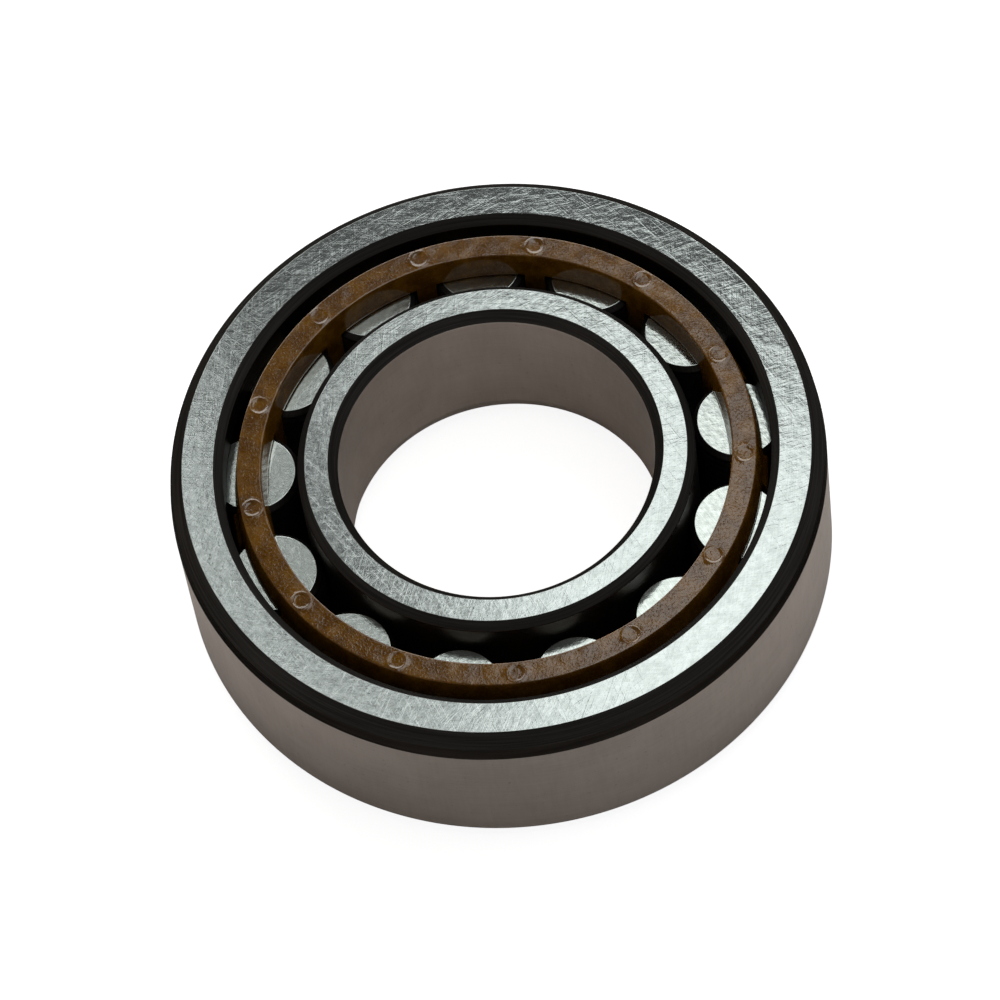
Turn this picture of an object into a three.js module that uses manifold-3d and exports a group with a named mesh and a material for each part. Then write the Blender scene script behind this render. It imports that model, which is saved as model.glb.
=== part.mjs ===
// A single-row cylindrical roller bearing, 25 x 52 x 15 mm. Its outer ring has two ribs and its inner
// ring has one, on the lower side, so the upper side of the inner ring is plain and the ring can be
// drawn out downwards. A moulded window cage carries the rollers.
// Millimetres. +Z is the bearing's axis, and the origin is the centre of the lower side.

import * as THREE from "three";
import { mergeVertices } from "three/addons/utils/BufferGeometryUtils.js";
import Module from "manifold-3d";

const wasm = await Module();
wasm.setup();

// Boundary dimensions
const WIDTH = 15;
const OUTSIDE_RADIUS = 26;
const BORE_RADIUS = 12.5;

// Rollers and where they run
const ROLLER_COUNT = 13;
const ROLLER_RADIUS = 3.75;
const ROLLER_LENGTH = 9;
const ROLLER_CORNER = 0.44;
const PITCH_RADIUS = 19.5;
const FIRST_ROLLER_DEG = 3.67; // from +X to the first roller at rest
const RACEWAY_GAP = 0.02; // a roller's radial clearance to each raceway
const RIB_GAP = 0.02; // a roller's end clearance to each rib

// Outer ring
const OUTER_RIB_RADIUS = 21.65;
const OUTER_RIB_CHAMFER = 0.68;
const OUTER_CORNER_DEPTH = 1.18; // the 45 degree corner chamfer, seen on the side face
const OUTER_CORNER_HEIGHT = 1.02; // the same chamfer, seen on the outside diameter
const LEAD_IN_DEPTH = 0.16; // the shallow lead-in under the upper chamfer
const LEAD_IN_END = 2.27;

// Inner ring
const INNER_RIB_RADIUS = 17.35;
const INNER_RIB_CHAMFER = 0.35;
const BORE_CHAMFER_DEPTH = 0.74; // the upper end of the bore
const BORE_CHAMFER_HEIGHT = 0.88;
const BORE_LEAD_IN_DEPTH = 0.3; // the lower end of the bore opens in two steps, a lead-in and a chamfer
const BORE_LEAD_IN_END = 2.16;
const LOWER_CHAMFER_DEPTH = 0.7;
const LOWER_CHAMFER_HEIGHT = 1.04;
const PLAIN_EDGE_CHAMFER = 0.64;

// The grinding relief where a raceway meets a rib: a square groove set at 45 degrees
const RELIEF_REACH = 0.4;
const RELIEF_DEPTH = 0.2;

// Cage
const POCKET_GAP = 0.14; // a roller's clearance in its pocket
const CAGE_END_GAP = 0.45; // from the ring's side to the cage's end face
const CAGE_FACE_INNER = 18.6; // the end face, between walls that draft outwards to the pockets
const CAGE_FACE_OUTER = 20.5;
const CAGE_INNER_RADIUS = 18.3;
const CAGE_OUTER_RADIUS = 20.95;
const BAR_OUTER_RADIUS = 21.3;
const BAR_STEP_HEIGHT = 0.6; // how far below a pocket's end the bars reach their full width

// Facets. The rings have a whole number of facets for each roller.
const RING_SEGMENTS = 8 * ROLLER_COUNT;
const CAGE_SEGMENTS = 4 * ROLLER_COUNT;
const ROLLER_SEGMENTS = 32;

const RIB_TOP = (WIDTH - ROLLER_LENGTH) / 2 - RIB_GAP;
const OUTER_RACEWAY = PITCH_RADIUS + ROLLER_RADIUS + RACEWAY_GAP;
const INNER_RACEWAY = PITCH_RADIUS - ROLLER_RADIUS - RACEWAY_GAP;
const POCKET_LENGTH = ROLLER_LENGTH + 2 * POCKET_GAP;

const ringSteel = new THREE.MeshStandardMaterial({ color: 0xb4bab6, metalness: 1, roughness: 0.38 });
const rollerSteel = new THREE.MeshStandardMaterial({ color: 0xc6c9c6, metalness: 1, roughness: 0.22 });
const polyamide = new THREE.MeshStandardMaterial({ color: 0x8a6232, metalness: 0, roughness: 0.45 });

/** Turns a profile of [radius, height] points, listed counter-clockwise, about the Z axis. */
function turned(profile, segments) {
  const points = profile.map(([radius, height]) => new THREE.Vector2(radius, height));
  return new THREE.LatheGeometry(points, segments).rotateX(Math.PI / 2);
}

/** The same outline on the upper side, in the order that continues a profile from the lower side. */
function mirrored(lowerOutline) {
  return lowerOutline.map(([radius, height]) => [radius, WIDTH - height]).reverse();
}

/** Joins a profile's last point to its first. */
function closed(outline) {
  return [...outline, outline[0]];
}

/** The groove in the corner of a raceway and a rib. toRaceway is 1 for an outer ring, -1 for an inner. */
function relief(racewayRadius, toRaceway) {
  return [
    [racewayRadius - toRaceway * RELIEF_REACH, RIB_TOP],
    [racewayRadius - (toRaceway * RELIEF_REACH) / 4, RIB_TOP - RELIEF_DEPTH],
    [racewayRadius + toRaceway * RELIEF_DEPTH, RIB_TOP + RELIEF_REACH / 4],
    [racewayRadius, RIB_TOP + RELIEF_REACH],
  ];
}

function outerRing() {
  const ribAndSide = [
    ...relief(OUTER_RACEWAY, 1).reverse(),
    [OUTER_RIB_RADIUS, RIB_TOP],
    [OUTER_RIB_RADIUS, OUTER_RIB_CHAMFER],
    [OUTER_RIB_RADIUS + OUTER_RIB_CHAMFER, 0],
    [OUTSIDE_RADIUS - OUTER_CORNER_DEPTH, 0],
  ];
  const profile = [
    ...ribAndSide,
    [OUTSIDE_RADIUS, OUTER_CORNER_HEIGHT],
    [OUTSIDE_RADIUS, WIDTH - LEAD_IN_END],
    [OUTSIDE_RADIUS - LEAD_IN_DEPTH, WIDTH - OUTER_CORNER_HEIGHT],
    ...mirrored(ribAndSide),
  ];
  return turned(closed(profile), RING_SEGMENTS);
}

function innerRing() {
  const leadIn = BORE_RADIUS + BORE_LEAD_IN_DEPTH;
  const profile = [
    [BORE_RADIUS, BORE_LEAD_IN_END],
    [leadIn, LOWER_CHAMFER_HEIGHT],
    [leadIn + LOWER_CHAMFER_DEPTH, 0],
    [INNER_RIB_RADIUS - INNER_RIB_CHAMFER, 0],
    [INNER_RIB_RADIUS, INNER_RIB_CHAMFER],
    [INNER_RIB_RADIUS, RIB_TOP],
    ...relief(INNER_RACEWAY, -1),
    [INNER_RACEWAY, WIDTH - PLAIN_EDGE_CHAMFER],
    [INNER_RACEWAY - PLAIN_EDGE_CHAMFER, WIDTH],
    [BORE_RADIUS + BORE_CHAMFER_DEPTH, WIDTH],
    [BORE_RADIUS, WIDTH - BORE_CHAMFER_HEIGHT],
  ];
  return turned(closed(profile), RING_SEGMENTS);
}

/** A roller with its axis on Z and its lower end at the height of the lower rib. */
function roller() {
  const low = (WIDTH - ROLLER_LENGTH) / 2;
  const high = low + ROLLER_LENGTH;
  const profile = [
    [0, low],
    [ROLLER_RADIUS - ROLLER_CORNER, low],
    [ROLLER_RADIUS, low + ROLLER_CORNER],
    [ROLLER_RADIUS, high - ROLLER_CORNER],
    [ROLLER_RADIUS - ROLLER_CORNER, high],
    [0, high],
  ];
  return turned(profile, ROLLER_SEGMENTS);
}

/** The cage before its pockets are cut: two end rings, and between them the band that becomes the bars. */
function cageBlank() {
  const pocketEnd = (WIDTH - POCKET_LENGTH) / 2;
  const lowerHalf = [
    [CAGE_INNER_RADIUS, pocketEnd],
    [CAGE_FACE_INNER, CAGE_END_GAP],
    [CAGE_FACE_OUTER, CAGE_END_GAP],
    [CAGE_OUTER_RADIUS, pocketEnd],
    [BAR_OUTER_RADIUS, pocketEnd + BAR_STEP_HEIGHT],
  ];
  return turned(closed([...lowerHalf, ...mirrored(lowerHalf)]), CAGE_SEGMENTS);
}

function cage() {
  const pocketRadius = ROLLER_RADIUS + POCKET_GAP;
  const pocket = new THREE.CylinderGeometry(pocketRadius, pocketRadius, POCKET_LENGTH, ROLLER_SEGMENTS);
  pocket.rotateX(Math.PI / 2).translate(PITCH_RADIUS, 0, WIDTH / 2);
  const withPockets = rollerAngles().reduce(
    (body, angle) => body.subtract(toManifold(pocket.clone().rotateZ(angle))),
    toManifold(cageBlank().rotateZ(rollerAngles()[0])),
  );
  return fromManifold(withPockets);
}

/** The angle of each roller's centre about the bearing's axis. */
function rollerAngles() {
  const pitch = (2 * Math.PI) / ROLLER_COUNT;
  const first = THREE.MathUtils.degToRad(FIRST_ROLLER_DEG);
  return Array.from({ length: ROLLER_COUNT }, (_, index) => first + index * pitch);
}

function toManifold(geometry) {
  const bare = new THREE.BufferGeometry();
  bare.setAttribute("position", geometry.getAttribute("position"));
  bare.setIndex(geometry.index);
  const merged = mergeVertices(bare, 1e-4);
  const mesh = new wasm.Mesh({
    numProp: 3,
    vertProperties: merged.attributes.position.array,
    triVerts: new Uint32Array(merged.index.array),
  });
  return new wasm.Manifold(mesh);
}

function fromManifold(solid) {
  const mesh = solid.getMesh();
  const geometry = new THREE.BufferGeometry();
  geometry.setAttribute("position", new THREE.BufferAttribute(mesh.vertProperties, mesh.numProp));
  geometry.setIndex(new THREE.BufferAttribute(mesh.triVerts, 1));
  return geometry;
}

function named(name, geometry, material) {
  const mesh = new THREE.Mesh(geometry, material);
  mesh.name = name;
  return mesh;
}

const bearing = new THREE.Group();
bearing.add(named("outer_ring", outerRing(), ringSteel));
bearing.add(named("inner_ring", innerRing(), ringSteel));
bearing.add(named("cage", cage(), polyamide));

rollerAngles().forEach((angle, index) => {
  const number = String(index + 1).padStart(2, "0");
  const piece = named(`roller_${number}`, roller(), rollerSteel);
  piece.position.set(PITCH_RADIUS * Math.cos(angle), PITCH_RADIUS * Math.sin(angle), 0);
  bearing.add(piece);
});

export default bearing;
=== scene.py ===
"""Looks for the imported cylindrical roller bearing: fine turned rings, a moulded cage, ground rollers,
their procedural materials, and a plain studio. Lengths are millimetres until a mesh or light is made."""

import math

import bmesh
import bpy
from mathutils import Matrix, Vector, noise


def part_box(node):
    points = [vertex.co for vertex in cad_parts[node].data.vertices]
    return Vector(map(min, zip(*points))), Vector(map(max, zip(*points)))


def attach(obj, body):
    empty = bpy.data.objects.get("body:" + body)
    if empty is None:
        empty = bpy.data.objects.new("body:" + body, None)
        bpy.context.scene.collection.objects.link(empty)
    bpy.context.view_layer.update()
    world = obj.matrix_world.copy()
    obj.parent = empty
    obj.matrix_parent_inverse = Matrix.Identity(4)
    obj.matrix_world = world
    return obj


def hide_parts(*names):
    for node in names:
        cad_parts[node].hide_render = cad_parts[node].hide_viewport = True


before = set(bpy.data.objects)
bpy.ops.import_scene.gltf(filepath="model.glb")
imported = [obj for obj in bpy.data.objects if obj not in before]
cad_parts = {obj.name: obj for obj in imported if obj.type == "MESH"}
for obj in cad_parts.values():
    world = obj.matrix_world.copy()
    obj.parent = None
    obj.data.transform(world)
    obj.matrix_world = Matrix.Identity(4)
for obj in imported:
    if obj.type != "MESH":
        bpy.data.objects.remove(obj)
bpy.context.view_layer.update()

MM = 0.001


def box_mm(node):
    """Lowest and highest corner of a CAD node, in millimetres."""
    low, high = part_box(node)
    return low / MM, high / MM


# Driving dimensions, from the frame
WIDTH = box_mm("outer_ring")[1].z
OUTSIDE_RADIUS = box_mm("outer_ring")[1].x
INNER_RIB_RADIUS = box_mm("inner_ring")[1].x
CAGE_LOW, CAGE_HIGH = (corner.z for corner in box_mm("cage"))
ROLLER_NAMES = sorted(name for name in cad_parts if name.startswith("roller_"))
FIRST_LOW, FIRST_HIGH = box_mm(ROLLER_NAMES[0])
ROLLER_RADIUS = (FIRST_HIGH.x - FIRST_LOW.x) / 2
ROLLER_LOW, ROLLER_HIGH = FIRST_LOW.z, FIRST_HIGH.z
FIRST_CENTRE = (FIRST_LOW + FIRST_HIGH) / 2
PITCH_RADIUS = math.hypot(FIRST_CENTRE.x, FIRST_CENTRE.y)
FIRST_ANGLE = math.atan2(FIRST_CENTRE.y, FIRST_CENTRE.x)
ROLLER_STEP = 2 * math.pi / len(ROLLER_NAMES)

# Rings
RING_SEGMENTS = 360
ROLLER_GAP = 0.02  # between a roller and each raceway and rib
RIB_HEIGHT = ROLLER_LOW - ROLLER_GAP
OUTER_RACEWAY = PITCH_RADIUS + ROLLER_RADIUS + ROLLER_GAP
INNER_RACEWAY = PITCH_RADIUS - ROLLER_RADIUS - ROLLER_GAP
RELIEF_REACH = 0.4  # the grinding groove between a raceway and a rib, along either of them
RELIEF_DEPTH = 0.2
SIDE_FILLET = 0.03  # the edges of the side faces

OUTER_RIB_RADIUS = 21.65
OUTER_RIB_CHAMFER = 0.68
OUTER_CORNER_DEPTH = 1.18  # the corner chamfer, seen on the side face
OUTER_CORNER_HEIGHT = 1.02  # the same chamfer, seen on the outside diameter
LEAD_IN_DEPTH = 0.16  # the shallow lead-in under the upper chamfer
LEAD_IN_END = 2.27

BORE_RADIUS = 12.5
BORE_CHAMFER_DEPTH = 0.74  # the upper end of the bore
BORE_CHAMFER_HEIGHT = 0.88
BORE_LEAD_IN_DEPTH = 0.3  # the lower end of the bore opens in two steps, a lead-in and a chamfer
BORE_LEAD_IN_END = 2.16
LOWER_CHAMFER_DEPTH = 0.7
LOWER_CHAMFER_HEIGHT = 1.04
INNER_RIB_CHAMFER = 0.35
PLAIN_EDGE_CHAMFER = 0.64

# Rollers
ROLLER_CORNER = 0.44
ROLLER_SEGMENTS = 96

# Cage
POCKET_GAP = 0.14
POCKET_RADIUS = ROLLER_RADIUS + POCKET_GAP
POCKET_TOP = ROLLER_HIGH + POCKET_GAP
CAGE_FACE_INNER = 18.6  # the end face, between walls that draft outwards to the pockets
CAGE_FACE_OUTER = 20.5
CAGE_INNER_RADIUS = 18.3
CAGE_OUTER_RADIUS = 20.95
BAR_OUTER_RADIUS = 21.3
BAR_STEP_HEIGHT = 0.6  # how far below a pocket's end the bars reach their full width
POCKET_COLUMNS = 24
BAR_COLUMNS = 26
BAR_ROWS = 8
WALL_ROWS = 6
FACE_ROWS = 28
CAGE_FILLET = 0.1
CAGE_SHARP_DEGREES = 38  # the cage's edges that turn by more than this are rounded
MARK_RADIUS = 0.69  # an ejector pin's mark on the cage's end face
MARK_PITCH = 19.6
MARK_DEPTH = 0.035
MARK_RIM_WIDTH = 0.12
MARK_RIM_HEIGHT = 0.05
FACE_WAVE = 0.02  # the end face's waviness
FACE_EDGE = 0.2  # the strip along each edge of the end face where its relief fades out

# Camera: its view direction, its distance from the middle of the upper side, and where that lies in view
CAMERA_ELEVATION = math.radians(59.6)
CAMERA_ROLL = math.radians(-9.16)
CAMERA_DISTANCE = 451.1
CAMERA_LENS = 206.7
CAMERA_ASIDE = 0.37
CAMERA_BELOW = 3.752

# Studio
FLOOR_RADIUS = 2000
PAPER_HEIGHT = -0.02  # the floor that the camera sees
TABLE_HEIGHT = -0.05  # the floor that lights and reflections meet
BACKDROP_RADIUS = 1900

# Light
OVERHEAD = 315.0  # height of the three panels that the side faces reflect
KEY_CORNER = (-9.7, 158.3)  # centre of the key panel's rounded far corner
KEY_FADE = (49.0, 57.0)  # distances from that centre over which the key's glow dies away
KEY_FLATTENING = 0.885  # of the corner's circles, across
KEY_RADIANCE = 1.28
KEY_REST = 0.09  # what is left of the glow outside that corner
KEY_PANEL = [(0, 230), (50, 225), (150, 180), (150, -60), (0, -60)]
KEY_EDGE = [(-27, 196), (-20, 206), (0, 212), (0, -60), (-11, -60), (-11, 165)]
KEY_EDGE_RADIANCE = (0.38, 1.20)  # from its dimmest to its brightest spots
SIDE_PANEL = [(-90, 214), (-36, 210), (-36, 175), (-26, 153), (-11, 146), (-11, -60), (-90, -60)]
SIDE_RADIANCE = (0.16, 1.25)
BACK_PANEL = [(-320, 400, 60), (320, 400, 60), (320, 400, 380), (-320, 400, 380)]
BACK_RADIANCE = 2.3
AIR_RADIANCE = 0.10
HORIZON_RADIANCE = 0.42


# ---------------------------------------------------------------- meshes


def finish_piece(name, mesh, materials, body, node):
    """Links a mesh as the piece that stands for a CAD node."""
    for material in materials:
        mesh.materials.append(material)
    piece = bpy.data.objects.new(name, mesh)
    bpy.context.scene.collection.objects.link(piece)
    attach(piece, body)
    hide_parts(node)
    return piece


def turned_away(vector, angle):
    """A 2-D vector turned anticlockwise."""
    c, s = math.cos(angle), math.sin(angle)
    return Vector((c * vector.x - s * vector.y, s * vector.x + c * vector.y))


def rounded_corner(before, corner, after, radius, steps=4):
    """Points and outward normals of the fillet at a corner of a counter-clockwise outline."""
    to_corner = (corner - before).normalized()
    from_corner = (after - corner).normalized()
    turn = math.atan2(to_corner.cross(from_corner), to_corner.dot(from_corner))
    room = 0.45 * min((corner - before).length, (after - corner).length)  # neighbours must not meet
    reach = min(radius * math.tan(abs(turn) / 2), room)
    bend = math.copysign(reach / math.tan(abs(turn) / 2), turn)
    normal = Vector((to_corner.y, -to_corner.x))
    centre = corner - to_corner * reach - normal * bend
    normals = [turned_away(normal, turn * step / steps) for step in range(steps + 1)]
    return [(centre + n * bend, n) for n in normals]


def outline_of(corners, closed=True):
    """[(point, outward normal, finish)] from [(radius, height, fillet, finish of the flat that follows)]."""
    points = [Vector(corner[:2]) for corner in corners]
    outline = []
    for index, (_, _, fillet, finish) in enumerate(corners):
        at_end = not closed and index in (0, len(corners) - 1)
        if at_end:
            outline.append((points[index], Vector((0, 1 if index else -1)), finish))
            continue
        before, after = points[index - 1], points[(index + 1) % len(points)]
        arc = rounded_corner(before, points[index], after, fillet)
        outline += [(point, normal, finish) for point, normal in arc]
    return outline


def turned_mesh(name, outline, segments, centre=(0.0, 0.0), closed=True):
    """Turns an outline about a vertical axis. Its normals are the outline's own, so flats stay flat."""
    vertices, normals, faces, finishes, numbers = [], [], [], [], {}
    for step in range(segments):
        angle = 2 * math.pi * step / segments
        c, s = math.cos(angle), math.sin(angle)
        for row, (point, normal, _) in enumerate(outline):
            if step and point.x == 0:
                numbers[step, row] = numbers[0, row]  # a point on the axis is one vertex
                continue
            numbers[step, row] = len(vertices)
            place = (centre[0] + c * point.x, centre[1] + s * point.x, point.y)
            vertices.append(Vector(place) * MM)
            normals.append((c * normal.x, s * normal.x, normal.y))
    count = len(outline)
    for step in range(segments):
        after = (step + 1) % segments
        for row in range(count if closed else count - 1):
            above = (row + 1) % count
            corners = [(step, row), (after, row), (after, above), (step, above)]
            faces.append(tuple(dict.fromkeys(numbers[corner] for corner in corners)))
            finishes.append(outline[row][2])
    mesh = bpy.data.meshes.new(name)
    mesh.from_pydata(vertices, [], faces)
    mesh.polygons.foreach_set("material_index", finishes)
    mesh.shade_smooth()
    mesh.normals_split_custom_set_from_vertices(normals)
    return mesh


def mirrored(lower_corners, last_finish):
    """The same corners on the upper side. Each flat keeps its finish, and the last one's is given."""
    finishes = [last_finish] + [corner[3] for corner in lower_corners[:-1]]
    pairs = zip(lower_corners, finishes)
    return [(r, WIDTH - z, fillet, finish) for (r, z, fillet, _), finish in pairs][::-1]


def relief(raceway, outward):
    """The grinding groove between a rib and a raceway. outward is 1 on an outer ring, -1 on an inner one."""
    return [
        (raceway - outward * RELIEF_REACH, RIB_HEIGHT, 0.04, TURNED),
        (raceway - outward * RELIEF_REACH / 4, RIB_HEIGHT - RELIEF_DEPTH, 0.12, TURNED),
        (raceway + outward * RELIEF_DEPTH, RIB_HEIGHT + RELIEF_REACH / 4, 0.12, TURNED),
        (raceway, RIB_HEIGHT + RELIEF_REACH, 0.04, TURNED),
    ]


SIDE, ROUND, TURNED, HONED = range(4)  # the ring materials' slots


def outer_ring_mesh():
    rib_and_side = [
        *relief(OUTER_RACEWAY, 1)[::-1],
        (OUTER_RIB_RADIUS, RIB_HEIGHT, 0.12, TURNED),
        (OUTER_RIB_RADIUS, OUTER_RIB_CHAMFER, 0.10, TURNED),
        (OUTER_RIB_RADIUS + OUTER_RIB_CHAMFER, 0.0, SIDE_FILLET, SIDE),
        (OUTSIDE_RADIUS - OUTER_CORNER_DEPTH, 0.0, SIDE_FILLET, TURNED),
    ]
    corners = [
        *rib_and_side,
        (OUTSIDE_RADIUS, OUTER_CORNER_HEIGHT, 0.25, ROUND),
        (OUTSIDE_RADIUS, WIDTH - LEAD_IN_END, 0.5, TURNED),
        (OUTSIDE_RADIUS - LEAD_IN_DEPTH, WIDTH - OUTER_CORNER_HEIGHT, 0.25, TURNED),
        *mirrored(rib_and_side, HONED),
    ]
    return turned_mesh("outer_ring_steel", outline_of(corners), RING_SEGMENTS)


def inner_ring_mesh():
    groove = relief(INNER_RACEWAY, -1)
    lead_in = BORE_RADIUS + BORE_LEAD_IN_DEPTH
    corners = [
        (BORE_RADIUS, BORE_LEAD_IN_END, 0.8, ROUND),
        (lead_in, LOWER_CHAMFER_HEIGHT, 0.3, TURNED),
        (lead_in + LOWER_CHAMFER_DEPTH, 0.0, SIDE_FILLET, SIDE),
        (INNER_RIB_RADIUS - INNER_RIB_CHAMFER, 0.0, SIDE_FILLET, TURNED),
        (INNER_RIB_RADIUS, INNER_RIB_CHAMFER, 0.10, ROUND),
        (INNER_RIB_RADIUS, RIB_HEIGHT, 0.12, TURNED),
        *groove[:-1],
        groove[-1][:3] + (HONED,),
        (INNER_RACEWAY, WIDTH - PLAIN_EDGE_CHAMFER, 0.15, TURNED),
        (INNER_RACEWAY - PLAIN_EDGE_CHAMFER, WIDTH, SIDE_FILLET, SIDE),
        (BORE_RADIUS + BORE_CHAMFER_DEPTH, WIDTH, SIDE_FILLET, TURNED),
        (BORE_RADIUS, WIDTH - BORE_CHAMFER_HEIGHT, 0.12, ROUND),
    ]
    return turned_mesh("inner_ring_steel", outline_of(corners), RING_SEGMENTS)


END, BARREL, CORNER = range(3)  # the roller materials' slots


def roller_mesh(name):
    low, high = box_mm(name)
    centre = (low + high) / 2
    corners = [
        (0.0, low.z, 0.0, END),
        (ROLLER_RADIUS - ROLLER_CORNER, low.z, 0.08, CORNER),
        (ROLLER_RADIUS, low.z + ROLLER_CORNER, 0.35, BARREL),
        (ROLLER_RADIUS, high.z - ROLLER_CORNER, 0.35, CORNER),
        (ROLLER_RADIUS - ROLLER_CORNER, high.z, 0.08, END),
        (0.0, high.z, 0.0, END),
    ]
    outline = outline_of(corners, closed=False)
    return turned_mesh(name + "_steel", outline, ROLLER_SEGMENTS, (centre.x, centre.y), closed=False)


# ---------------------------------------------------------------- cage


END_FACE, WALL = range(2)  # the cage materials' slots


def pocket_half_angle(radius):
    """Half the angle that a pocket takes of the circle of that radius."""
    across = radius**2 + PITCH_RADIUS**2 - POCKET_RADIUS**2
    return math.acos(across / (2 * radius * PITCH_RADIUS))


def between(low, high, share):
    return low + (high - low) * share


def cage_walls(height):
    """Radii of the cage's inner and outer wall at a height above its middle plane."""
    if height >= POCKET_TOP:
        share = (height - POCKET_TOP) / (CAGE_HIGH - POCKET_TOP)
        inner = between(CAGE_INNER_RADIUS, CAGE_FACE_INNER, share)
        return inner, between(CAGE_OUTER_RADIUS, CAGE_FACE_OUTER, share)
    share = min((POCKET_TOP - height) / BAR_STEP_HEIGHT, 1.0)
    return CAGE_INNER_RADIUS, between(CAGE_OUTER_RADIUS, BAR_OUTER_RADIUS, share)


def column_angle(column, radius):
    """Angle of a mesh column from its roller's centre: columns over the pocket first, then over the bar."""
    half = pocket_half_angle(radius)
    if column <= POCKET_COLUMNS:
        return half * (2 * column / POCKET_COLUMNS - 1)
    return between(half, ROLLER_STEP - half, (column - POCKET_COLUMNS) / BAR_COLUMNS)


def face_relief(radius, angle):
    """Height of the moulded end face over its plane: an ejector mark over each bar, and a faint waviness."""
    x, y = radius * math.cos(angle), radius * math.sin(angle)
    sector = round((angle - FIRST_ANGLE) / ROLLER_STEP - 0.5) + 0.5
    mark = FIRST_ANGLE + sector * ROLLER_STEP
    away = math.hypot(x - MARK_PITCH * math.cos(mark), y - MARK_PITCH * math.sin(mark))
    strength = 0.7 + 1.3 * noise.noise(Vector((x, y, 3.0)) * 0.6)
    rim = MARK_RIM_HEIGHT * math.exp(-(((away - MARK_RADIUS) / MARK_RIM_WIDTH) ** 2))
    dish = -MARK_DEPTH if away < MARK_RADIUS else 0.0
    wave = FACE_WAVE * noise.noise(Vector((x, y, 0.0)) * 0.9)
    return strength * (rim + dish) + wave


def even_steps(start, end, steps):
    """Points from start up to, but without, end."""
    return [start.lerp(end, step / steps) for step in range(steps)]


def crown_outline():
    """The upper end ring's section, from a pocket's outer edge over the end face to its inner edge."""
    corners = [
        (CAGE_OUTER_RADIUS, POCKET_TOP, 0.0, WALL),
        (CAGE_FACE_OUTER, CAGE_HIGH, CAGE_FILLET, END_FACE),
        (CAGE_FACE_INNER, CAGE_HIGH, CAGE_FILLET, WALL),
        (CAGE_INNER_RADIUS, POCKET_TOP, 0.0, WALL),
    ]
    outline = [point for point, _, _ in outline_of(corners, closed=False)]
    middle = len(outline) // 2
    outer, inner = outline[:middle], outline[middle:]
    return [
        *even_steps(outer[0], outer[1], WALL_ROWS),
        *outer[1:-1],
        *even_steps(outer[-1], inner[0], FACE_ROWS),
        *inner[:-1],
        *even_steps(inner[-2], inner[-1], WALL_ROWS)[1:],
        inner[-1],
    ]


class CageBuilder:
    """Builds the cage sector by sector, above and below its middle plane alike."""

    def __init__(self):
        self.mesh = bmesh.new()
        self.middle = (CAGE_LOW + CAGE_HIGH) / 2
        self.reach = POCKET_TOP - self.middle
        self.crown = crown_outline()
        full_width = self.reach - BAR_STEP_HEIGHT
        half_step = BAR_STEP_HEIGHT / 2
        upper = [0.0, self.reach / 3, self.reach * 2 / 3, full_width, full_width + half_step, self.reach]
        self.bar_heights = [-height for height in upper[:0:-1]] + upper

    def patch(self, rows, columns, place, *settings):
        """A grid of quads. place(row, column, *settings) gives radius, angle and height."""
        grid = []
        for row in range(rows):
            line = []
            for column in range(columns):
                radius, angle, height = place(row, column, *settings)
                spot = Vector((radius * math.cos(angle), radius * math.sin(angle), height))
                line.append(self.mesh.verts.new(spot * MM))
            grid.append(line)
        for low, high in zip(grid, grid[1:]):
            for column in range(columns - 1):
                corners = (low[column], low[column + 1], high[column + 1], high[column])
                self.mesh.faces.new(corners)

    def on_crown(self, row, column, start, side):
        """An end ring's outside. side is 1 for the upper ring, and -1 for the lower one."""
        point = self.crown[row]
        angle = start + column_angle(column, point.x)
        edge = min(point.x - CAGE_FACE_INNER, CAGE_FACE_OUTER - point.x) / FACE_EDGE
        rise = face_relief(point.x, angle) * min(max(edge, 0.0), 1.0) if side > 0 else 0.0
        return point.x, angle, self.middle + side * (point.y - self.middle) + rise

    def over_pocket(self, row, column, start, side):
        """The flat end of a pocket."""
        radius = between(CAGE_INNER_RADIUS, CAGE_OUTER_RADIUS, row / BAR_ROWS)
        return radius, start + column_angle(column, radius), self.middle + side * self.reach

    def round_wall(self, row, column, start, share):
        """A bar's inner (0) or outer (1) wall."""
        return self.on_bar(row, POCKET_COLUMNS + column, start, share)

    def pocket_wall(self, row, column, start, bar_side):
        """The hollow side of a bar, along one of its columns of vertices."""
        return self.on_bar(row, bar_side, start, column / BAR_ROWS)

    def on_bar(self, row, column, start, share):
        height = self.bar_heights[row]
        inner, outer = cage_walls(self.middle + abs(height))
        radius = between(inner, outer, share)
        return radius, start + column_angle(column, radius), self.middle + height

    def sector(self, start):
        """One pocket and the bar after it."""
        for side in (1, -1):
            columns = POCKET_COLUMNS + BAR_COLUMNS + 1
            self.patch(len(self.crown), columns, self.on_crown, start, side)
            self.patch(BAR_ROWS + 1, POCKET_COLUMNS + 1, self.over_pocket, start, side)
        rows = len(self.bar_heights)
        for share in (0, 1):
            self.patch(rows, BAR_COLUMNS + 1, self.round_wall, start, share)
        for bar_side in (POCKET_COLUMNS, POCKET_COLUMNS + BAR_COLUMNS):
            self.patch(rows, BAR_ROWS + 1, self.pocket_wall, start, bar_side)


def cage_mesh():
    builder = CageBuilder()
    for index in range(len(ROLLER_NAMES)):
        builder.sector(FIRST_ANGLE + index * ROLLER_STEP)
    bmesh.ops.remove_doubles(builder.mesh, verts=builder.mesh.verts, dist=0.002 * MM)
    bmesh.ops.recalc_face_normals(builder.mesh, faces=builder.mesh.faces)
    mesh = bpy.data.meshes.new("cage_polyamide")
    builder.mesh.to_mesh(mesh)
    builder.mesh.free()
    mesh.shade_smooth()
    for polygon in mesh.polygons:
        near_end = abs(polygon.center.z / MM - builder.middle) > CAGE_HIGH - builder.middle - 0.1
        polygon.material_index = END_FACE if near_end and abs(polygon.normal.z) > 0.8 else WALL
    return mesh


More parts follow.
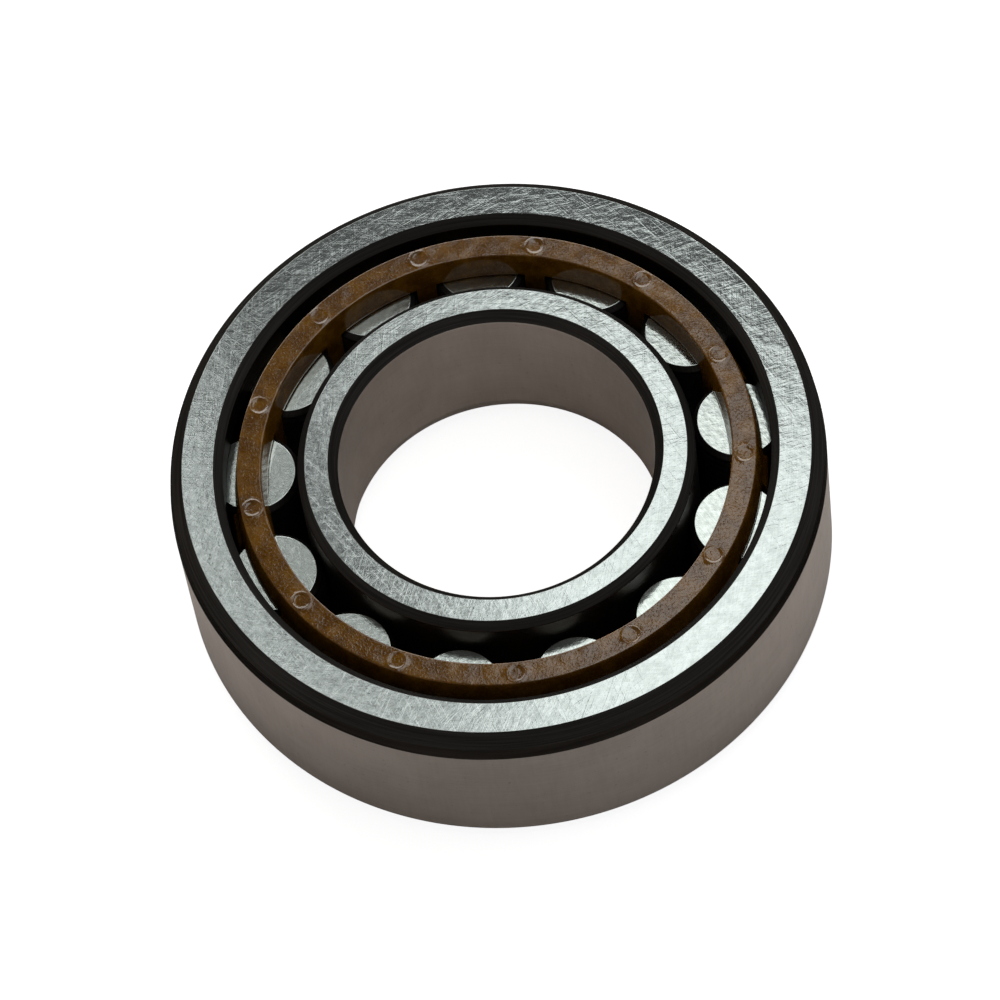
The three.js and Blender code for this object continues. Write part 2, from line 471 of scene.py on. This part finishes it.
def soften_edges(piece, width, limit_degrees):
    """Rounds the edges sharper than the limit, and lets wide faces keep their own normals."""
    bevel = piece.modifiers.new("rounded_edges", "BEVEL")
    bevel.width = width * MM
    bevel.segments = 2
    bevel.limit_method = "ANGLE"
    bevel.angle_limit = math.radians(limit_degrees)
    bevel.use_clamp_overlap = True
    piece.modifiers.new("flat_normals", "WEIGHTED_NORMAL")


# ---------------------------------------------------------------- shader nodes


class Graph:
    """Adds and links the nodes of one material or world."""

    def __init__(self, owner, shader="ShaderNodeBsdfPrincipled", output="ShaderNodeOutputMaterial"):
        self.owner = owner
        owner.use_nodes = True
        self.tree = owner.node_tree
        self.tree.nodes.clear()
        self.shader = self.tree.nodes.new(shader)
        surface = self.tree.nodes.new(output).inputs["Surface"]
        self.tree.links.new(self.shader.outputs[0], surface)

    def fill(self, socket, value):
        if isinstance(value, bpy.types.NodeSocket):
            self.tree.links.new(value, socket)
        else:
            socket.default_value = value

    def node(self, kind, inputs, **settings):
        made = self.tree.nodes.new(kind)
        for key, value in settings.items():
            setattr(made, key, value)
        for key, value in inputs.items():
            self.fill(made.inputs[key], value)
        return made

    def set(self, **inputs):
        for key, value in inputs.items():
            self.fill(self.shader.inputs[key.replace("_", " ")], value)

    def math(self, operation, first, second=0.0):
        return self.node("ShaderNodeMath", {0: first, 1: second}, operation=operation).outputs[0]

    def weighted(self, parts):
        """The sum of values, each times its weight."""
        total = 0.0
        for value, weight in parts:
            made = self.node("ShaderNodeMath", {0: value, 1: weight, 2: total}, operation="MULTIPLY_ADD")
            total = made.outputs[0]
        return total

    def vector(self, operation, first, second):
        made = self.node("ShaderNodeVectorMath", {0: first, 1: second}, operation=operation)
        return made.outputs["Value" if operation == "LENGTH" else "Vector"]

    def mix(self, share, low, high):
        """A colour between two, by a share from 0 to 1."""
        made = self.node("ShaderNodeMix", {0: share}, data_type="RGBA")
        for socket, value in ((made.inputs[6], low), (made.inputs[7], high)):
            self.fill(socket, value if isinstance(value, bpy.types.NodeSocket) else (*value, 1.0))
        return made.outputs[2]

    def stretch(self, value, low, high, to_low=0.0, to_high=1.0):
        """Maps low..high to to_low..to_high, and clamps."""
        inputs = {"Value": value, "From Min": low, "From Max": high, "To Min": to_low, "To Max": to_high}
        return self.node("ShaderNodeMapRange", inputs).outputs["Result"]

    def position(self):
        """Object position in millimetres."""
        place = self.node("ShaderNodeTexCoord", {}).outputs["Object"]
        return self.vector("MULTIPLY", place, (1 / MM,) * 3)

    def noise(self, vector, scale, detail=2.0, roughness=0.5):
        inputs = {"Vector": vector, "Scale": scale, "Detail": detail, "Roughness": roughness}
        return self.node("ShaderNodeTexNoise", inputs).outputs["Fac"]

    def grain(self, across, along, width, length, seed, detail=2.0):
        """Fine lines: noise that changes over width across them and over length along them."""
        along_parts = self.node("ShaderNodeSeparateXYZ", {0: along})
        parts = {
            "X": self.math("MULTIPLY_ADD", across, 1 / width),
            "Y": self.math("MULTIPLY", along_parts.outputs["X"], 1 / length),
            "Z": self.math("MULTIPLY", along_parts.outputs["Y"], 1 / length),
        }
        place = self.node("ShaderNodeCombineXYZ", parts).outputs["Vector"]
        shifted = self.vector("ADD", place, (seed * 17.3, seed * 5.1, seed * 9.7))
        return self.noise(shifted, 1.0, detail)

    def far_arcs(self, position, centre, width, length, seed):
        """Lines that are arcs about a far point, as a grinding wheel's rim leaves them on a flat face."""
        flat = self.vector("MULTIPLY", position, (1.0, 1.0, 0.0))
        away = self.vector("LENGTH", self.vector("SUBTRACT", flat, (*centre, 0.0)), (0.0, 0.0, 0.0))
        return self.grain(away, position, width, length, seed)

    def bump(self, height, distance, strength=1.0):
        inputs = {"Strength": strength, "Distance": distance * MM, "Height": height}
        return self.node("ShaderNodeBump", inputs).outputs["Normal"]


# ---------------------------------------------------------------- materials


def ground_side_steel(name, blur, seed):
    """A ground side face: crossing scratches and shallow patches that tilt a clean, cool grey reflection."""
    g = Graph(bpy.data.materials.new(name))
    place = g.position()
    brushed = [
        g.far_arcs(place, (-95.0, 20.0), 0.09, 2.4, seed),
        g.far_arcs(place, (60.0, -95.0), 0.10, 1.8, seed + 1),
        g.far_arcs(place, (25.0, 120.0), 0.08, 1.4, seed + 2),
    ]
    scratches = [
        g.far_arcs(place, (-110.0, 35.0), 0.19, 5.0, seed + 3),
        g.far_arcs(place, (-80.0, -45.0), 0.17, 3.6, seed + 4),
        g.far_arcs(place, (45.0, -100.0), 0.16, 3.0, seed + 5),
        g.far_arcs(place, (10.0, 130.0), 0.15, 2.4, seed + 6),
    ]
    edges = [(g.stretch(lines, 0.58, 0.74), 0.0006) for lines in scratches]
    height = g.weighted(
        [
            *edges,
            *((lines, 0.0005) for lines in brushed),
            (g.noise(place, 2.4, 3.0), 0.0020),
            (g.noise(place, 0.7, 2.0), 0.0050),
        ]
    )
    tone = g.weighted([(lines, 0.2) for lines in brushed] + [(g.noise(place, 1.7, 4.0), 0.4)])
    tone = g.math("ADD", g.stretch(tone, 0.40, 0.60), g.weighted([(edge, 0.12) for edge, _ in edges]))
    g.set(
        Metallic=1.0,
        Base_Color=g.mix(tone, (0.53, 0.575, 0.555), (0.72, 0.765, 0.745)),
        Roughness=g.stretch(g.noise(place, 0.5, 3.0), 0.35, 0.65, blur - 0.01, blur + 0.01),
        Normal=g.bump(height, 3.0),
    )
    return g.owner


def round_steel():
    """The ground bore and outside diameter: satin, with faint lines round and faint streaks along."""
    g = Graph(bpy.data.materials.new("round_steel"))
    place = g.position()
    fine = g.noise(g.vector("MULTIPLY", place, (0.25, 0.25, 14.0)), 1.0)
    streaks = g.noise(g.vector("MULTIPLY", place, (2.6, 2.6, 0.35)), 1.0)
    clouds = g.noise(place, 0.22, 3.0)
    specks = g.stretch(g.noise(place, 3.2, 1.0), 0.70, 0.78)
    tone = g.stretch(g.weighted([(fine, 0.35), (streaks, 0.2), (clouds, 0.45)]), 0.35, 0.65)
    tone = g.math("SUBTRACT", tone, specks)
    g.set(
        Metallic=1.0,
        # partly painted reflection: the warm tint stands in for warm floor light that the bore and outside
        # diameter reflect; the rest is the steel's own satin grey
        Base_Color=g.mix(g.stretch(tone, -1.0, 1.0), (0.56, 0.50, 0.46), (0.84, 0.765, 0.715)),
        Roughness=g.stretch(tone, 0.0, 1.0, 0.44, 0.36),
        Normal=g.bump(fine, 0.002),
    )
    return g.owner


def turned_painted_shade_steel():
    """Chamfers, ribs and reliefs: turned. Their near-black base colour and dimmed edge tint are painted
    shade, standing in for the dark surroundings these faces reflect.
    """
    g = Graph(bpy.data.materials.new("turned_painted_shade_steel"))
    place = g.position()
    flat = g.vector("MULTIPLY", place, (1.0, 1.0, 0.0))
    radius = g.vector("LENGTH", flat, (0.0, 0.0, 0.0))
    rings = g.grain(radius, place, 0.09, 9.0, 4)
    levels = g.noise(g.vector("MULTIPLY", place, (0.15, 0.15, 11.0)), 1.0)
    tone = g.stretch(g.math("ADD", rings, levels), 0.75, 1.25)
    g.set(
        Metallic=1.0,
        # painted shade: this near-black colour stands in for the dark reflections of the turned faces
        Base_Color=g.mix(tone, (0.038, 0.034, 0.031), (0.066, 0.060, 0.055)),
        Roughness=g.stretch(tone, 0.0, 1.0, 0.50, 0.38),
        Specular_Tint=(0.3, 0.3, 0.3, 1.0),
        Normal=g.bump(tone, 0.003),
    )
    return g.owner


def honed_steel(name, low, high):
    """Raceways and rollers' barrels: dark, smooth, with faint lines round the axis."""
    g = Graph(bpy.data.materials.new(name))
    place = g.position()
    fine = g.noise(g.vector("MULTIPLY", place, (0.3, 0.3, 12.0)), 1.0)
    tone = g.stretch(fine, 0.35, 0.65)
    g.set(
        Metallic=1.0,
        Base_Color=g.mix(tone, low, high),
        Roughness=g.stretch(tone, 0.0, 1.0, 0.36, 0.30),
        Normal=g.bump(fine, 0.001),
    )
    return g.owner


def roller_end_steel():
    """A ground roller end: bright, with short crossing lines."""
    g = Graph(bpy.data.materials.new("roller_end_steel"))
    place = g.position()
    first = g.far_arcs(place, (-60.0, -45.0), 0.09, 1.2, 5)
    second = g.far_arcs(place, (20.0, 90.0), 0.11, 0.9, 6)
    patches = g.noise(place, 2.4, 4.0)
    tone = g.stretch(g.weighted([(first, 0.35), (second, 0.25), (patches, 0.4)]), 0.40, 0.60)
    g.set(
        Metallic=1.0,
        Base_Color=g.mix(tone, (0.60, 0.65, 0.61), (0.80, 0.85, 0.81)),
        Roughness=g.stretch(tone, 0.0, 1.0, 0.15, 0.10),
        Normal=g.bump(g.weighted([(tone, 0.0007), (patches, 0.008)]), 1.0),
    )
    return g.owner


def polyamide(name, texture, gloss, blur):
    """Amber glass-fibre polyamide: a little translucent, with pale flow patches and bright fibre specks.

    texture scales its fine relief, gloss its reflections, and blur is the roughness of its smoothest spots.
    """
    g = Graph(bpy.data.materials.new(name))
    place = g.position()
    flow = g.stretch(g.noise(place, 0.6, 4.0, 0.6), 0.42, 0.66)
    specks = g.stretch(g.noise(place, 7.0, 2.0), 0.58, 0.70)
    deep = g.mix(flow, (0.150, 0.056, 0.002), (0.275, 0.117, 0.008))
    colour = g.mix(g.math("MULTIPLY", specks, 0.35), deep, (0.44, 0.25, 0.06))
    grains = g.stretch(g.noise(place, 4.6, 2.0), 0.50, 0.72)
    fine, coarse = g.noise(place, 6.5, 2.0), g.noise(place, 2.2, 2.0)
    height = g.weighted([(grains, 0.007 * texture), (fine, 0.004 * texture), (coarse, 0.008 * texture)])
    g.set(
        Base_Color=colour,
        Roughness=g.stretch(g.noise(place, 4.0, 3.0), 0.42, 0.62, blur, blur + 0.10 * texture),
        Subsurface_Weight=0.15,
        Subsurface_Radius=(1.0, 0.35, 0.08),
        Subsurface_Scale=0.5 * MM,
        Specular_IOR_Level=gloss,
        Normal=g.bump(height, 1.0),
    )
    return g.owner


# ---------------------------------------------------------------- studio


def plain_surface(name, colour, glow):
    """A matt surface that also gives even white light of its own."""
    g = Graph(bpy.data.materials.new(name))
    g.set(Base_Color=(*colour, 1.0), Roughness=0.9, Specular_IOR_Level=0.0)
    g.set(Emission_Color=(1.0, 1.0, 1.0, 1.0), Emission_Strength=glow)
    return g.owner


def stage_piece(name, mesh, material):
    mesh.materials.append(material)
    piece = bpy.data.objects.new(name, mesh)
    bpy.context.scene.collection.objects.link(piece)
    return piece


def floor_mesh(name, height):
    mesh = bpy.data.meshes.new(name)
    builder = bmesh.new()
    disc = Matrix.Translation((0.0, 0.0, height * MM))
    bmesh.ops.create_circle(builder, cap_ends=True, radius=FLOOR_RADIUS * MM, segments=96, matrix=disc)
    builder.to_mesh(mesh)
    builder.free()
    return mesh


def make_stage():
    """A pale floor and backdrop for the camera, and under them the floor that lights and reflections meet."""
    paper_surface = plain_surface("paper", (0.8, 0.8, 0.8), 0.88)
    paper = stage_piece("floor", floor_mesh("floor", PAPER_HEIGHT), paper_surface)
    table_surface = plain_surface("table", (0.81, 0.75, 0.71), 0.0)
    table = stage_piece("bounce", floor_mesh("bounce", TABLE_HEIGHT), table_surface)
    table.visible_camera = False
    dome_mesh = bpy.data.meshes.new("backdrop")
    builder = bmesh.new()
    bmesh.ops.create_uvsphere(builder, u_segments=48, v_segments=24, radius=BACKDROP_RADIUS * MM)
    builder.to_mesh(dome_mesh)
    builder.free()
    dome = stage_piece("backdrop", dome_mesh, plain_surface("backdrop_paper", (0.0, 0.0, 0.0), 1.0))
    for seen_only in (paper, dome):
        for ray in ("glossy", "diffuse", "shadow", "transmission"):
            setattr(seen_only, "visible_" + ray, False)


def make_world():
    """Dim air, brighter towards the horizon and a little bluer on the right."""
    g = Graph(bpy.data.worlds.new("studio_air"), "ShaderNodeBackground", "ShaderNodeOutputWorld")
    direction = g.node("ShaderNodeTexCoord", {}).outputs["Generated"]
    parts = g.node("ShaderNodeSeparateXYZ", {0: direction}).outputs
    g.set(
        Color=g.mix(g.stretch(parts["X"], -0.3, 0.3), (1.0, 0.98, 0.95), (0.92, 0.97, 1.0)),
        Strength=g.stretch(parts["Z"], 0.10, 0.60, HORIZON_RADIANCE, AIR_RADIANCE),
    )
    bpy.context.scene.world = g.owner


def make_camera():
    """The camera, turned about its own axis, with the bearing's upper side below the middle of the view."""
    across = Vector((1.0, 0.0, 0.0))
    back = Vector((0.0, -math.cos(CAMERA_ELEVATION), math.sin(CAMERA_ELEVATION)))
    up = back.cross(across)
    right = across * math.cos(CAMERA_ROLL) + up * math.sin(CAMERA_ROLL)
    top = back.cross(right)
    target = Vector((0.0, 0.0, WIDTH))
    place = target + back * CAMERA_DISTANCE + right * CAMERA_ASIDE - top * CAMERA_BELOW
    data = bpy.data.cameras.new("camera")
    data.lens = CAMERA_LENS
    data.sensor_width = 36.0
    data.clip_start = 0.01
    data.clip_end = 10.0
    camera = bpy.data.objects.new("camera", data)
    turn = Matrix((right, top, back)).transposed().to_4x4()
    camera.matrix_world = Matrix.Translation(place * MM) @ turn
    bpy.context.scene.collection.objects.link(camera)
    bpy.context.scene.camera = camera


def faded(g):
    """The key panel's glow, which dies away round its far corner."""
    parts = g.node("ShaderNodeSeparateXYZ", {0: g.position()}).outputs
    x, y = KEY_CORNER
    full, gone = KEY_FADE
    across = g.stretch(parts["X"], x, x + full / KEY_FLATTENING, 0.0, full)
    along = g.stretch(parts["Y"], y, y + gone, 0.0, gone)
    corner = g.node("ShaderNodeCombineXYZ", {"X": across, "Y": along}).outputs["Vector"]
    return g.stretch(g.vector("LENGTH", corner, (0.0, 0.0, 0.0)), full, gone, KEY_RADIANCE, KEY_REST)


def crinkled(g, low, high):
    """The uneven glow of a crumpled diffuser."""
    return g.stretch(g.noise(g.position(), 0.20, 2.0), 0.44, 0.56, low, high)


def light_panel(name, corners, glow, *limits):
    """A flat panel, unseen by the camera. Its glow is a number, or a function of its material's nodes."""
    mesh = bpy.data.meshes.new(name)
    mesh.from_pydata([Vector(corner) * MM for corner in corners], [], [range(len(corners))])
    g = Graph(bpy.data.materials.new(name))
    g.set(Base_Color=(0.0, 0.0, 0.0, 1.0), Specular_IOR_Level=0.0, Emission_Color=(0.97, 1.0, 0.99, 1.0))
    g.set(Emission_Strength=glow(g, *limits) if callable(glow) else glow)
    panel = stage_piece(name, mesh, g.owner)
    panel.visible_camera = False
    return panel


def overhead(outline):
    return [(x, y, OVERHEAD) for x, y in outline]


def make_lights(steel):
    """The air, a panel behind, the key panel, and two panels on the left that light only the steel."""
    make_world()
    light_panel("back", BACK_PANEL, BACK_RADIANCE)
    light_panel("key", overhead(KEY_PANEL), faded)
    for panel in (
        light_panel("key_edge", overhead(KEY_EDGE), crinkled, *KEY_EDGE_RADIANCE),
        light_panel("side", overhead(SIDE_PANEL), crinkled, *SIDE_RADIANCE),
    ):
        panel.light_linking.receiver_collection = steel


# ---------------------------------------------------------------- assembly


def make_bearing():
    """Makes every piece, and returns the collection of the steel ones."""
    steel = bpy.data.collections.new("steel_pieces")
    raceway = honed_steel("raceway_steel", (0.19, 0.18, 0.17), (0.27, 0.26, 0.25))
    # dark: the turned faces' material, its colour darkened by painted shade
    dark = turned_painted_shade_steel()
    satin = round_steel()
    rings = (("outer_ring", outer_ring_mesh(), 0.075, 1), ("inner_ring", inner_ring_mesh(), 0.09, 9))
    for node, mesh, blur, seed in rings:
        materials = [ground_side_steel(node + "_side_steel", blur, seed), satin, dark, raceway]
        steel.objects.link(finish_piece(node + "_steel", mesh, materials, node, node))
    end_face = polyamide("end_face_polyamide", 1.0, 1.2, 0.08)
    cage_materials = [end_face, polyamide("wall_polyamide", 0.1, 0.4, 0.08)]
    cage = finish_piece("cage_moulding", cage_mesh(), cage_materials, "cage", "cage")
    soften_edges(cage, CAGE_FILLET, CAGE_SHARP_DEGREES)
    barrel = honed_steel("roller_barrel_steel", (0.30, 0.29, 0.28), (0.42, 0.41, 0.40))
    roller_materials = [roller_end_steel(), barrel, dark]
    for name in ROLLER_NAMES:
        piece = finish_piece(name + "_steel", roller_mesh(name), roller_materials, name, name)
        steel.objects.link(piece)
    return steel


bpy.context.scene.view_settings.view_transform = "Standard"
make_camera()
make_stage()
make_lights(make_bearing())
